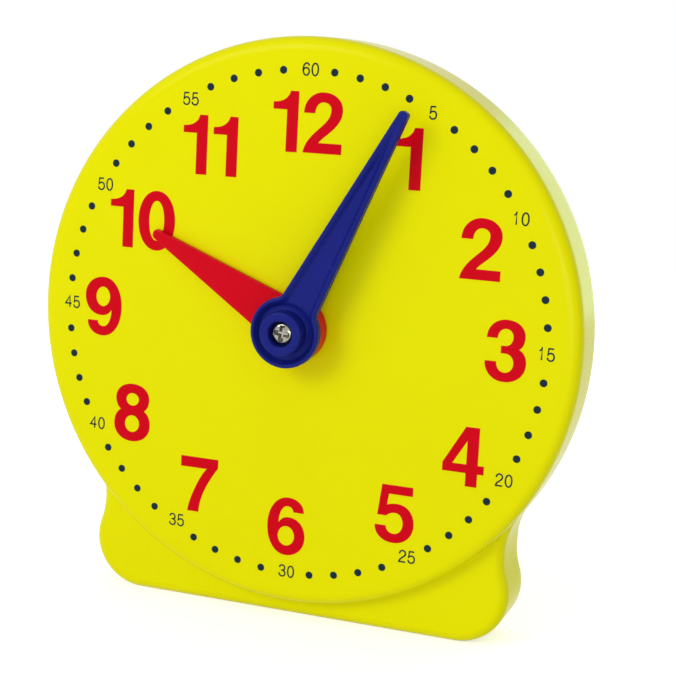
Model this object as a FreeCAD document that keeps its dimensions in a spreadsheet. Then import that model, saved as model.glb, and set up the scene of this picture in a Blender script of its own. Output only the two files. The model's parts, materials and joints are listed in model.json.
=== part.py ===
import FreeCAD, Part
import functools
import math
import os
import re
import Sketcher

# Geared teaching clock: a yellow moulded dial on a waisted base, a red hour hand and
# a blue minute hand joined by a 12 to 1 gear train inside, closed by a rear cover.
#
# World frame: origin at the middle of the flat underside of the base, X to the viewer's
# right, Y into the clock, Z up. Each piece is drawn in the dial's own frame: origin at
# the dial centre on the face, X right, Y towards 12 o'clock, Z towards the viewer.
# A depth is measured from the face into the clock, a height from the face outwards.

Vector = FreeCAD.Vector
doc = FreeCAD.newDocument("teaching_clock")
sheet = doc.addObject("Spreadsheet::Sheet", "Dims")

# Driving sizes: millimetres, degrees for angles, plain numbers for teeth and shares
sizes = {
    # case
    "disc_radius": 61.5,
    "disc_edge": 2.4,           # rounding of the dial's front edge, in three flats
    "dial_lift": 4.0,           # lowest point of the dial above the table
    "base_setback": 4.1,        # base panel behind the dial face
    "base_edge": 2.4,           # rounding of the base's front edge
    "foot_step": 4.2,           # foot deeper than the dial
    "foot_half_width": 48.9,
    "foot_corner": 11.2,
    "waist_radius": 16.9,
    "slope_height": 8.2,        # of the step from the dial's back to the foot's
    "case_wall": 1.7,
    # rear cover and its screws
    "cover_thick": 2.4,
    "cover_gap": 0.2,           # between the cover's edge and the case wall
    "boss_radius": 3.4,
    "boss_inset": 9.2,          # upper bosses inside the dial's edge
    "boss_angle": 43.5,         # upper bosses above the horizontal
    "rib_thick": 1.2,           # ribs that tie the bosses to the wall
    "rib_drop": 2.0,            # top of a rib below the top of its boss
    "screw_radius": 1.25,
    "screw_length": 8.0,
    "screw_head_radius": 2.4,
    "screw_head_thick": 1.3,
    "screw_edge": 0.4,          # bevel round the head's top
    "head_room": 0.25,          # round a screw head in its counterbore
    "hole_room": 0.2,           # round a screw in its clearance hole
    # gear train
    "gear_module": 1.0,
    "pair_teeth": 40,           # of both pairs, so both have one centre distance
    "minute_teeth": 10,
    "idler_teeth": 8,
    "pressure_angle": 20.0,
    "addendum_share": 1.0,      # of the module
    "dedendum_share": 1.25,
    "shift_share": 0.5,         # pinions are shifted out by it and wheels in
    "tip_cut_share": 0.22,      # taken off the pinions' long tips
    "backlash": 0.15,
    "wheel_thick": 2.5,
    "pinion_spare": 0.4,        # minute pinion longer than its wheel
    "layer_gap": 0.3,           # between the two layers of gears
    "running_gap": 0.05,        # radial, in every bearing
    "seat_gap": 0.05,           # radial, between pieces that don't turn on each other
    "turning_gap": 0.3,         # radial, round what turns without bearing
    "end_play": 0.1,
    # arbor, pipe, bush and washers
    "arbor_radius": 2.5,
    "pipe_wall": 1.45,
    "bush_wall": 1.55,
    "bush_flange_width": 2.0,
    "bush_flange_thick": 1.2,
    "washer_thick": 0.4,
    "washer_width": 1.4,        # hour washer outside the bush's barrel
    "collar_step": 0.9,
    "collar_thick": 0.8,
    "journal_step": 0.5,
    "drive_step": 0.4,
    "drive_flat": 0.5,          # depth of the flats that drive the hands
    "socket_floor": 0.9,        # left behind a blind hole in the shell or the cover
    "spring_height": 1.1,
    "spring_thick": 0.3,
    "spring_width": 2.7,
    # idler pin
    "pin_radius": 1.5,
    "pin_boss_wall": 2.1,
    "pin_boss_rise": 1.1,
    "rear_boss_rise": 0.55,
    "idler_hub_wall": 1.7,
    # hour hand
    "hour_gap": 0.55,           # between the face and the hand
    "hour_thick": 1.5,
    "hour_hub_height": 4.6,
    "hub_cap": 0.9,
    "hour_root_half": 5.55,     # from the axis square to the arm's sides
    "hour_tip_radius": 1.1,
    "hour_length": 38.2,
    "hour_angle": 297.9,        # clockwise from 12, as photographed
    "hub_edge": 0.4,
    "arm_edge": 0.3,
    # minute hand
    "minute_gap": 0.3,          # above the hour hand's hub
    "minute_thick": 2.3,
    "minute_root_half": 4.7,
    "minute_tip_radius": 0.95,
    "minute_length": 52.9,
    "minute_angle": 26.5,       # clockwise from 12, as photographed
    "rim_wall": 1.05,
    "hand_corner": 2.0,         # rounding where the arm leaves the hub
    "channel_tip_radius": 0.2,
    "channel_depth": 0.95,
    "hub_floor_depth": 1.5,
    "hub_channel": 1.45,        # between the boss and the hub's rim
    "boss_wall": 1.85,          # round the screw's counterbore
    "boss_edge": 0.4,
    "drive_length": 1.4,
    "hand_web": 0.6,            # between the arbor's end and the screw head
    # hand screw
    "hand_screw_radius": 1.0,
    "hand_screw_length": 8.0,
    "hand_head_radius": 2.05,
    "hand_head_thick": 1.5,
    "hand_head_edge": 0.45,
    "bore_room": 0.7,
    "head_sink": 1.0,           # screw head below the top of the boss
    "overrun": 1.0,             # how far a cut runs past what it cuts
}
for row, (alias, size) in enumerate(sizes.items(), start=1):
    sheet.set("A%d" % row, alias)
    sheet.set("B%d" % row, str(size))
    sheet.setAlias("B%d" % row, alias)
doc.recompute()

# Sizes that follow from the driving ones
derived = {
    # depths through the clock, from the face to the back
    "bush_back": "case_wall + bush_flange_thick",
    "hour_wheel_front": "bush_back + washer_thick + end_play",
    "hour_wheel_back": "hour_wheel_front + wheel_thick",
    "idler_wheel_front": "hour_wheel_back + layer_gap",
    "idler_wheel_back": "idler_wheel_front + wheel_thick",
    "collar_front": "idler_wheel_back + pinion_spare",
    "collar_back": "collar_front + collar_thick",
    "thrust_front": "collar_back + spring_height",
    "cover_front": "thrust_front + washer_thick",
    "disc_depth": "cover_front + cover_thick",
    "foot_depth": "disc_depth + foot_step",
    "foot_cover_front": "foot_depth - cover_thick",
    "panel_inside": "base_setback + case_wall",
    "socket_end": "disc_depth - socket_floor",
    "pin_boss_end": "case_wall + pin_boss_rise",
    "idler_pinion_front": "pin_boss_end + end_play",
    "rear_boss_front": "cover_front - rear_boss_rise",
    "idler_washer_front": "rear_boss_front - washer_thick",
    "rest_depth": "(base_setback + base_edge + foot_depth) / 2",
    # heights above the face
    "hour_hub_top": "hour_gap + hour_hub_height",
    "pipe_top": "hour_hub_top - hub_cap",
    "minute_under": "hour_hub_top + minute_gap",
    "rim_top": "minute_under + minute_thick",
    "drive_top": "minute_under + drive_length",
    "head_seat": "drive_top + hand_web",
    "boss_top": "head_seat + hand_head_thick + head_sink",
    # radii about the dial centre
    "pipe_radius": "arbor_radius + running_gap + pipe_wall",
    "bush_radius": "pipe_radius + running_gap + bush_wall",
    "journal_radius": "arbor_radius - journal_step",
    "drive_radius": "arbor_radius - drive_step",
    "spring_inner": "journal_radius + turning_gap",
    "spring_outer": "spring_inner + spring_width",
    "counterbore_radius": "hand_head_radius + bore_room",
    "hand_boss_radius": "counterbore_radius + boss_wall",
    "hub_radius": "hand_boss_radius + hub_channel + rim_wall",
    # hands
    "hour_reach": "hour_length - hour_tip_radius",
    "minute_reach": "minute_length - minute_tip_radius",
    "channel_hub": "hub_radius - rim_wall",
    "channel_root": "minute_root_half - rim_wall",
    "channel_reach": "minute_reach * (channel_root - channel_tip_radius)"
                     " / (minute_root_half - minute_tip_radius)",
    # gear train
    "minute_count": "round(minute_teeth)",
    "idler_count": "round(idler_teeth)",
    "idler_wheel_count": "round(pair_teeth) - minute_count",
    "hour_count": "round(pair_teeth) - idler_count",
    "gear_distance": "gear_module * round(pair_teeth) / 2",
    # outline of the case
    "centre_height": "disc_radius + dial_lift",
    "foot_across": "foot_half_width - foot_corner",
    "foot_up": "foot_corner - centre_height",
    "foot_reach": "sqrt(foot_across ^ 2 + foot_up ^ 2)",
    "waist_reach": "disc_radius + waist_radius",
    "waist_along": "(waist_reach ^ 2 - (waist_radius + foot_corner) ^ 2 + foot_reach ^ 2)"
                   " / (2 * foot_reach)",
    "waist_aside": "sqrt(waist_reach ^ 2 - waist_along ^ 2)",
    "waist_across": "(foot_across * waist_along - foot_up * waist_aside) / foot_reach",
    "waist_up": "(foot_up * waist_along + foot_across * waist_aside) / foot_reach",
    "shoulder_up": "waist_up * disc_radius / waist_reach",
    "slope_end_up": "shoulder_up - slope_height",
    "cover_bend": "cover_thick * tan(atan(foot_step / slope_height) / 2)",
    "disc_bend_small": "disc_edge * (1 - cos(30))",
    "disc_bend_large": "disc_edge * (1 - cos(60))",
    "boss_across": "(disc_radius - boss_inset) * cos(boss_angle)",
    "boss_up": "(disc_radius - boss_inset) * sin(boss_angle)",
}
tolerance = 1e-4


def bound(text):
    """The text with sizes as cells of the sheet and derived names written out."""
    def swap(match):
        word = match.group(0)
        if word in derived:
            return "(" + bound(derived[word]) + ")"
        return "Dims." + word if word in sizes else word
    return re.sub(r"[a-z_]+", swap, text)


@functools.cache
def value(text):
    return float(sheet.evalExpression(bound(text)))


def behind(depth):
    """The height of a point at a depth behind the face."""
    return "0 - (" + depth + ")"


# Bodies and their place in the world

def place(piece, turn="0", rise="0"):
    """Puts a piece's dial frame in the world, turned clockwise about the dial axis."""
    tilt = FreeCAD.Rotation(Vector(1, 0, 0), 90)
    spin = FreeCAD.Rotation(Vector(0, 0, 1), -value(turn))
    piece.Placement = FreeCAD.Placement(Vector(0, 0, 0), tilt.multiply(spin))
    piece.setExpression("Placement.Base.y", bound(behind("rest_depth")))
    piece.setExpression("Placement.Base.z", bound("centre_height + " + rise))


def new_body(name, turn="0", rise="0"):
    body = doc.addObject("PartDesign::Body", name)
    body.Label = name
    place(body, turn, rise)
    return body


def new_sketch(body, name, height="0", role="XY_Plane", turn="0"):
    """A sketch on one of the body's planes, or at a height above the face."""
    sketch = body.newObject("Sketcher::SketchObject", name)
    plane = [item for item in body.Origin.OriginFeatures if item.Role == role][0]
    sketch.AttachmentSupport = [(plane, "")]
    sketch.MapMode = "FlatFace"
    spin = FreeCAD.Rotation(Vector(0, 0, 1), -value(turn))
    sketch.AttachmentOffset = FreeCAD.Placement(Vector(0, 0, 0), spin)
    if height != "0":
        sketch.setExpression("AttachmentOffset.Base.z", bound(height))
    return sketch


# Sketch geometry tied to the sizes

def rule(sketch, *terms, size=None):
    """Adds one constraint, driven by an expression when it has a size."""
    if size is None:
        sketch.addConstraint(Sketcher.Constraint(*terms))
        return
    index = sketch.addConstraint(Sketcher.Constraint(*terms, value(size)))
    sketch.setExpression("Constraints[%d]" % index, bound(size))


def pin_point(sketch, curve, end, across, up):
    """Ties one point of a curve to its two coordinates."""
    if across == "0" and up == "0":
        rule(sketch, "Coincident", curve, end, -1, 1)
        return
    if across == "0":
        rule(sketch, "PointOnObject", curve, end, -2)
    else:
        rule(sketch, "DistanceX", -1, 1, curve, end, size=across)
    if up == "0":
        rule(sketch, "PointOnObject", curve, end, -1)
    else:
        rule(sketch, "DistanceY", -1, 1, curve, end, size=up)


def join(sketch, kind, first, second):
    """Joins two curves at the ends where they meet, with a corner or smoothly."""
    for end in (1, 2):
        for start in (1, 2):
            apart = sketch.getPoint(first, end) - sketch.getPoint(second, start)
            if apart.Length < tolerance:
                rule(sketch, kind, first, end, second, start)
                return
    raise ValueError("curves don't meet in " + sketch.Name)


def draw_polygon(sketch, corners):
    """A closed outline of straight sides through corners given as expressions."""
    points = [Vector(value(across), value(up), 0) for across, up in corners]
    following = points[1:] + points[:1]
    sides = [
        sketch.addGeometry(Part.LineSegment(point, after))
        for point, after in zip(points, following)
    ]
    for side, after in zip(sides, sides[1:] + sides[:1]):
        rule(sketch, "Coincident", side, 2, after, 1)
    for side, (across, up) in zip(sides, corners):
        pin_point(sketch, side, 1, across, up)


def draw_block(sketch, across, width, low, high):
    """An upright rectangle of a width about a line, from a low to a high level."""
    left, right = "%s - %s / 2" % (across, width), "%s + %s / 2" % (across, width)
    draw_polygon(sketch, [(left, low), (right, low), (right, high), (left, high)])


def draw_circle(sketch, radius, across="0", up="0"):
    centre = Vector(value(across), value(up), 0)
    circle = sketch.addGeometry(Part.Circle(centre, Vector(0, 0, 1), value(radius)))
    rule(sketch, "Radius", circle, size=radius)
    pin_point(sketch, circle, 3, across, up)


def draw_dee(sketch, radius, flat):
    """A circle about the origin with a flat of a given depth on its +X side."""
    size = value(radius)
    chord = size - value(flat)
    half = math.sqrt(size ** 2 - chord ** 2)
    upper, lower = Vector(chord, half, 0), Vector(chord, -half, 0)
    arc = sketch.addGeometry(Part.Arc(upper, Vector(-size, 0, 0), lower))
    line = sketch.addGeometry(Part.LineSegment(lower, upper))
    rule(sketch, "Coincident", line, 1, arc, 2)
    rule(sketch, "Coincident", line, 2, arc, 1)
    rule(sketch, "Coincident", arc, 3, -1, 1)
    rule(sketch, "Radius", arc, size=radius)
    rule(sketch, "Vertical", line)
    rule(sketch, "DistanceX", -1, 1, line, 1, size="%s - (%s)" % (radius, flat))


def draw_tapered_slot(sketch, root, tip, reach):
    """Arcs about the origin and about a point towards 12, joined by tangent sides."""
    root_size, tip_size, span = value(root), value(tip), value(reach)
    lean = math.asin((root_size - tip_size) / span)
    slant = Vector(math.cos(lean), math.sin(lean), 0)
    mirror = Vector(-slant.x, slant.y, 0)
    centre = Vector(0, span, 0)
    heel = sketch.addGeometry(
        Part.Arc(mirror * root_size, Vector(0, -root_size, 0), slant * root_size)
    )
    toe = sketch.addGeometry(
        Part.Arc(
            centre + slant * tip_size,
            centre + Vector(0, tip_size, 0),
            centre + mirror * tip_size,
        )
    )
    for way in (slant, mirror):
        side = Part.LineSegment(way * root_size, centre + way * tip_size)
        index = sketch.addGeometry(side)
        join(sketch, "Tangent", index, heel)
        join(sketch, "Tangent", index, toe)
    rule(sketch, "Radius", heel, size=root)
    rule(sketch, "Radius", toe, size=tip)
    pin_point(sketch, heel, 3, "0", "0")
    pin_point(sketch, toe, 3, "0", reach)


def draw_hand(sketch, hub, root, tip, reach, corner):
    """A hub circle and a tapered arm towards 12, with rounded corners between them.

    The arm's sides pass the hub's centre at the root distance and end on the tip's arc.
    """
    hub_size, root_size, tip_size = value(hub), value(root), value(tip)
    span, bend = value(reach), value(corner)
    lean = math.asin((root_size - tip_size) / span)
    along = math.sqrt((hub_size + bend) ** 2 - (root_size + bend) ** 2)
    toe_centre = Vector(0, span, 0)
    ends = {}
    for side in (1, -1):
        outwards = Vector(side * math.cos(lean), math.sin(lean), 0)
        upwards = Vector(-side * math.sin(lean), math.cos(lean), 0)
        centre = outwards * (root_size + bend) + upwards * along
        leave = centre * (hub_size / (hub_size + bend))
        land = centre - outwards * bend
        middle = centre - (outwards + Vector(centre).normalize()).normalize() * bend
        end = toe_centre + outwards * tip_size
        bend_arc = sketch.addGeometry(Part.Arc(leave, middle, land))
        side_line = sketch.addGeometry(Part.LineSegment(land, end))
        rule(sketch, "Radius", bend_arc, size=corner)
        join(sketch, "Tangent", bend_arc, side_line)
        ends[side] = bend_arc, side_line, leave, end
    heel = Part.Arc(ends[1][2], Vector(0, -hub_size, 0), ends[-1][2])
    heel = sketch.addGeometry(heel)
    toe = Part.Arc(ends[1][3], toe_centre + Vector(0, tip_size, 0), ends[-1][3])
    toe = sketch.addGeometry(toe)
    rule(sketch, "Radius", heel, size=hub)
    rule(sketch, "Radius", toe, size=tip)
    pin_point(sketch, heel, 3, "0", "0")
    pin_point(sketch, toe, 3, "0", reach)
    for bend_arc, side_line, leave, end in ends.values():
        join(sketch, "Tangent", bend_arc, heel)
        join(sketch, "Tangent", side_line, toe)
        rule(sketch, "Distance", -1, 1, side_line, size=root)


def draw_case(sketch, inset, with_disc):
    """The case outline moved inwards: the base alone, or the base with the dial's arc.

    On each side a waist arc leaves the dial's circle smoothly and runs into the foot's
    corner arc, which ends on the flat bottom.
    """
    disc = value("disc_radius") - value(inset)
    waist_size = value("waist_radius") + value(inset)
    corner_size = value("foot_corner") - value(inset)
    halves = []
    for side, sign in ((1, ""), (-1, "0 - ")):
        foot_centre = Vector(side * value("foot_across"), value("foot_up"), 0)
        waist_centre = Vector(side * value("waist_across"), value("waist_up"), 0)
        to_disc = (-waist_centre).normalize()
        to_foot = (foot_centre - waist_centre).normalize()
        down = Vector(0, -1, 0)
        leave = waist_centre + to_disc * waist_size
        turn = waist_centre + to_foot * waist_size
        bottom = foot_centre + down * corner_size
        waist_middle = waist_centre + (to_disc + to_foot).normalize() * waist_size
        foot_middle = foot_centre + (down - to_foot).normalize() * corner_size
        waist = sketch.addGeometry(Part.Arc(leave, waist_middle, turn))
        foot = sketch.addGeometry(Part.Arc(turn, foot_middle, bottom))
        spoke = sketch.addGeometry(Part.LineSegment(Vector(0, 0, 0), waist_centre), True)
        rule(sketch, "Coincident", spoke, 1, -1, 1)
        rule(sketch, "Coincident", spoke, 2, waist, 3)
        rule(sketch, "Distance", spoke, size="waist_reach")
        rule(sketch, "Radius", waist, size="waist_radius + " + inset)
        rule(sketch, "Radius", foot, size="foot_corner - (%s)" % inset)
        pin_point(sketch, foot, 3, sign + "foot_across", "foot_up")
        join(sketch, "Tangent", waist, foot)
        for end in (1, 2):
            if (sketch.getPoint(waist, end) - leave).Length < tolerance:
                rule(sketch, "PointOnObject", waist, end, spoke)
        halves.append((waist, foot, leave, bottom))
    (waist, foot, leave, bottom), (far_waist, far_foot, far_leave, far_bottom) = halves
    if with_disc:
        top = sketch.addGeometry(Part.Arc(leave, Vector(0, disc, 0), far_leave))
        rule(sketch, "Radius", top, size="disc_radius - (%s)" % inset)
    else:
        top = sketch.addGeometry(Part.LineSegment(leave, far_leave))
    floor = sketch.addGeometry(Part.LineSegment(bottom, far_bottom))
    join(sketch, "Coincident", top, waist)
    join(sketch, "Coincident", top, far_waist)
    join(sketch, "Tangent", floor, foot)
    join(sketch, "Tangent", floor, far_foot)


def circles(body, name, height, radius, places=(("0", "0"),)):
    sketch = new_sketch(body, name, height)
    for across, up in places:
        draw_circle(sketch, radius, across, up)
    return sketch


def ring(body, name, height, inner, outer):
    sketch = new_sketch(body, name, height)
    draw_circle(sketch, outer)
    draw_circle(sketch, inner)
    return sketch


# Features; each is checked as it is made

def settle(body, feature, full=None):
    """Recomputes and makes sure that a feature left one solid and that a cut removed some."""
    body.Tip = feature
    doc.recompute()
    shape = feature.Shape
    if shape.isNull() or len(shape.Solids) != 1:
        raise ValueError("no solid from " + feature.Name)
    if full is not None and shape.Volume > full - tolerance:
        raise ValueError(feature.Name + " cut nothing")
    return feature


def pad(body, sketch, length, inwards=True):
    feature = body.newObject("PartDesign::Pad", sketch.Name + "_pad")
    feature.Profile = sketch
    feature.setExpression("Length", bound(length))
    feature.Reversed = inwards
    return settle(body, feature)


def pocket(body, sketch, length, inwards=True):
    full = body.Tip.Shape.Volume
    feature = body.newObject("PartDesign::Pocket", sketch.Name + "_pocket")
    feature.Profile = sketch
    feature.setExpression("Length", bound(length))
    feature.Reversed = not inwards
    return settle(body, feature, full)


def cut_across(body, name, corners):
    """Cuts a side profile, given as (up, height) corners, out of the whole width."""
    full = body.Tip.Shape.Volume
    sketch = new_sketch(body, name, role="YZ_Plane")
    draw_polygon(sketch, corners)
    feature = body.newObject("PartDesign::Pocket", name + "_pocket")
    feature.Profile = sketch
    feature.Type = "ThroughAll"
    feature.SideType = "Symmetric"
    return settle(body, feature, full)


def turned(body, name, corners):
    """A solid of revolution about the dial axis from (radius, height) corners."""
    sketch = new_sketch(body, name, role="XZ_Plane")
    draw_polygon(sketch, corners)
    feature = body.newObject("PartDesign::Revolution", name + "_turned")
    feature.Profile = sketch
    feature.ReferenceAxis = (sketch, ["V_Axis"])
    feature.Angle = 360
    return settle(body, feature)


def ease_edges(body, kind, name, size, chosen):
    """Rounds or bevels the edges of the body's tip that a test chooses."""
    base = body.Tip
    full = base.Shape.Volume
    names = ["Edge%d" % (n + 1) for n, edge in enumerate(base.Shape.Edges) if chosen(edge)]
    feature = body.newObject("PartDesign::" + kind, name)
    feature.Base = (base, names)
    feature.setExpression("Radius" if kind == "Fillet" else "Size", bound(size))
    return settle(body, feature, full)


def lies_at(edge, height):
    """True for an edge that lies in the plane at a height above the face."""
    box = edge.BoundBox
    level = value(height)
    return abs(box.ZMin - level) < tolerance and abs(box.ZMax - level) < tolerance


# Front shell: the base block, its sloping back, the dial over it, and the hollow

shell = new_body("front_shell")
base_outline = new_sketch(shell, "base_outline", behind("base_setback"))
draw_case(base_outline, "0", with_disc=False)
pad(shell, base_outline, "foot_depth - base_setback")
ease_edges(
    shell,
    "Fillet",
    "base_rounding",
    "base_edge",
    lambda edge: lies_at(edge, behind("base_setback"))
    and edge.BoundBox.YMin < value("shoulder_up") - tolerance,
)
beyond_top = "disc_radius + overrun"
beyond_foot = "0 - centre_height - overrun"
beyond_back = "0 - foot_depth - overrun"
case_back = [
    (beyond_top, behind("disc_depth")),
    ("shoulder_up", behind("disc_depth")),
    ("slope_end_up", behind("foot_depth")),
    (beyond_foot, behind("foot_depth")),
    (beyond_foot, beyond_back),
    (beyond_top, beyond_back),
]
cut_across(shell, "back_slope", case_back)
turned(
    shell,
    "disc_section",
    [
        ("0", behind("disc_depth")),
        ("disc_radius", behind("disc_depth")),
        ("disc_radius", behind("disc_edge")),
        ("disc_radius - disc_bend_small", "disc_bend_large - disc_edge"),
        ("disc_radius - disc_bend_large", "0 - disc_bend_small"),
        ("disc_radius - disc_edge", "0"),
        ("0", "0"),
    ],
)
case_hollow = new_sketch(shell, "case_hollow", behind("panel_inside"))
draw_case(case_hollow, "case_wall", with_disc=True)
pocket(shell, case_hollow, "foot_depth")
disc_hollow = circles(shell, "disc_hollow", behind("case_wall"), "disc_radius - case_wall")
pocket(shell, disc_hollow, "base_setback")

upper_places = [("boss_across", "boss_up"), ("0 - boss_across", "boss_up")]
lower_places = [("foot_across", "foot_up"), ("0 - foot_across", "foot_up")]
idler_place = [("0", "gear_distance")]
thread_depth = "screw_length - cover_thick + screw_head_thick + hole_room"
thread_radius = "screw_radius + seat_gap"
pin_fit = "pin_radius + seat_gap"
pin_boss_radius = "pin_radius + pin_boss_wall"

boss = circles(shell, "upper_boss", behind("case_wall"), "boss_radius", upper_places)
pad(shell, boss, "cover_front - case_wall")
boss = circles(shell, "lower_boss", behind("panel_inside"), "boss_radius", lower_places)
pad(shell, boss, "foot_cover_front - panel_inside")
boss = circles(shell, "pin_boss", behind("case_wall"), pin_boss_radius, idler_place)
pad(shell, boss, "pin_boss_rise")
for side in (1, -1):
    rib = new_sketch(
        shell, "upper_rib", behind("case_wall"), turn="%d * (90 - boss_angle)" % side
    )
    draw_block(rib, "0", "rib_thick", "disc_radius - boss_inset", "disc_radius - case_wall / 2")
    pad(shell, rib, "cover_front - case_wall - rib_drop")
rib = new_sketch(shell, "lower_rib", behind("panel_inside"))
for across, up in lower_places:
    draw_block(rib, across, "rib_thick", "case_wall / 2 - centre_height", up)
pad(shell, rib, "foot_cover_front - panel_inside - rib_drop")
hole = circles(shell, "upper_thread", behind("cover_front"), thread_radius, upper_places)
pocket(shell, hole, thread_depth, inwards=False)
hole = circles(shell, "lower_thread", behind("foot_cover_front"), thread_radius, lower_places)
pocket(shell, hole, thread_depth, inwards=False)
hole = circles(shell, "pin_hole", behind("pin_boss_end"), pin_fit, idler_place)
pocket(shell, hole, "pin_boss_end - socket_floor", inwards=False)
pocket(shell, circles(shell, "bush_hole", "0", "bush_radius"), "case_wall + overrun")


# Rear cover: a bent plate that follows the case's back, inside its walls

cover = new_body("rear_cover")
cover_outline = new_sketch(cover, "cover_outline", behind("cover_front"))
draw_case(cover_outline, "case_wall + cover_gap", with_disc=True)
pad(cover, cover_outline, "foot_depth - cover_front")
cut_across(cover, "cover_outside", case_back)
cut_across(
    cover,
    "cover_inside",
    [
        ("shoulder_up - cover_bend", behind("cover_front")),
        ("slope_end_up - cover_bend", behind("foot_cover_front")),
        (beyond_foot, behind("foot_cover_front")),
        (beyond_foot, "0"),
        ("shoulder_up - cover_bend", "0"),
    ],
)
for level, places, back in (
    ("upper", upper_places, behind("disc_depth")),
    ("lower", lower_places, behind("foot_depth")),
):
    hole = circles(cover, level + "_clearance", back, "screw_radius + hole_room", places)
    pocket(cover, hole, "cover_thick", inwards=False)
    bore = circles(cover, level + "_counterbore", back, "screw_head_radius + head_room", places)
    pocket(cover, bore, "screw_head_thick", inwards=False)
socket = circles(cover, "journal_socket", behind("cover_front"), "journal_radius + running_gap")
pocket(cover, socket, "cover_thick - socket_floor")
boss = circles(cover, "rear_boss", behind("cover_front"), pin_boss_radius, idler_place)
pad(cover, boss, "rear_boss_rise", inwards=False)
socket = circles(cover, "pin_socket", behind("rear_boss_front"), pin_fit, idler_place)
pocket(cover, socket, "socket_end - rear_boss_front")


# Bush, washers, spring and idler pin

bush_bore = "pipe_radius + running_gap"
bush_barrel = "bush_radius - seat_gap"
bush_flange = "bush_radius + bush_flange_width"
bush = new_body("centre_bush")
turned(
    bush,
    "bush_section",
    [
        (bush_bore, "0"),
        (bush_barrel, "0"),
        (bush_barrel, behind("case_wall")),
        (bush_flange, behind("case_wall")),
        (bush_flange, behind("bush_back")),
        (bush_bore, behind("bush_back")),
    ],
)


def washer(name, front, inner, outer, rise="0"):
    body = new_body(name, rise=rise)
    pad(body, ring(body, name + "_ring", behind(front), inner, outer), "washer_thick")


washer("hour_washer", "bush_back", "pipe_radius + turning_gap", "bush_radius + washer_width")
washer("thrust_washer", "thrust_front", "spring_inner", "spring_outer + turning_gap")
washer(
    "idler_washer",
    "idler_washer_front",
    pin_fit,
    "pin_radius + running_gap + idler_hub_wall",
    rise="gear_distance",
)

spring = new_body("friction_spring")
turned(
    spring,
    "spring_section",
    [
        ("spring_inner", behind("collar_back + end_play")),
        ("spring_outer", behind("thrust_front - spring_thick")),
        ("spring_outer", behind("thrust_front")),
        ("spring_inner", behind("collar_back + end_play + spring_thick")),
    ],
)

pin = new_body("idler_pin", rise="gear_distance")
pin_circle = circles(pin, "pin_circle", behind("socket_floor + seat_gap"), "pin_radius")
pad(pin, pin_circle, "socket_end - socket_floor - 2 * seat_gap")


# Gears with involute teeth

flank_shares = (0, 0.45, 1)


def tip_radius(teeth, wheel):
    """The blank's radius; a pinion's long tip is cut back."""
    if wheel:
        return "gear_module * ((%s) / 2 + addendum_share - shift_share)" % teeth
    return "gear_module * ((%s) / 2 + addendum_share + shift_share - tip_cut_share)" % teeth


def root_radius(teeth, wheel):
    sign = "-" if wheel else "+"
    return "gear_module * ((%s) / 2 - dedendum_share %s shift_share)" % (teeth, sign)


def draw_gap(sketch, teeth, wheel):
    """The gap between two teeth, centred towards 12.

    Each flank is an arc through three points of the involute, held where the involute
    puts it, and a straight line from the base circle down to the root circle.
    """
    pitch = value("gear_module * (%s) / 2" % teeth)
    angle = math.radians(value("pressure_angle"))
    base = pitch * math.cos(angle)
    root = value(root_radius(teeth, wheel))
    tip = value(tip_radius(teeth, wheel))
    shift = value("gear_module * shift_share") * (-1 if wheel else 1)
    tooth = value("gear_module") * math.pi / 2 + 2 * shift * math.tan(angle)
    tooth = tooth - value("backlash") / 2

    def flank(radius, side):
        roll = math.acos(min(1, base / radius))
        half_tooth = tooth / (2 * pitch) + math.tan(angle) - angle - math.tan(roll) + roll
        half_gap = math.pi / value(teeth) - half_tooth
        return Vector(side * radius * math.sin(half_gap), radius * math.cos(half_gap), 0)

    start = max(root, base)
    curves = []
    feet = []
    ends = []
    for side in (1, -1):
        points = [flank(start + (tip - start) * share, side) for share in flank_shares]
        foot = points[0] * (root / start)
        end = points[-1] * ((tip + value("overrun")) / tip)
        if root < base:
            curves.append(Part.LineSegment(foot, points[0]))
        curves.append(Part.Arc(*points))
        curves.append(Part.LineSegment(points[-1], end))
        feet.append(foot)
        ends.append(end)
    curves.append(Part.Arc(feet[0], Vector(0, root, 0), feet[1]))
    curves.append(Part.LineSegment(*ends))
    for curve in curves:
        rule(sketch, "Block", sketch.addGeometry(curve))


def gear_blank(body, name, teeth, wheel, front, length):
    return pad(body, circles(body, name, behind(front), tip_radius(teeth, wheel)), length)


def cut_teeth(body, name, teeth, wheel, front, length, turn):
    """Cuts one gap, turned clockwise from 12, and repeats it round the blank."""
    full = body.Tip.Shape.Volume
    gap = new_sketch(body, name + "_gap", behind(front), turn=turn)
    draw_gap(gap, teeth, wheel)
    first = pocket(body, gap, length)
    pattern = body.newObject("PartDesign::PolarPattern", name + "_teeth")
    pattern.Originals = [first]
    pattern.Axis = (gap, ["N_Axis"])
    pattern.Angle = 360
    pattern.setExpression("Occurrences", bound(teeth))
    settle(body, pattern, first.Shape.Volume)
    removed = full - pattern.Shape.Volume
    if abs(removed - value(teeth) * (full - first.Shape.Volume)) > tolerance * full:
        raise ValueError(name + " lacks teeth")


# Hour wheel and its pipe; a gap faces the idler's pinion

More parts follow.
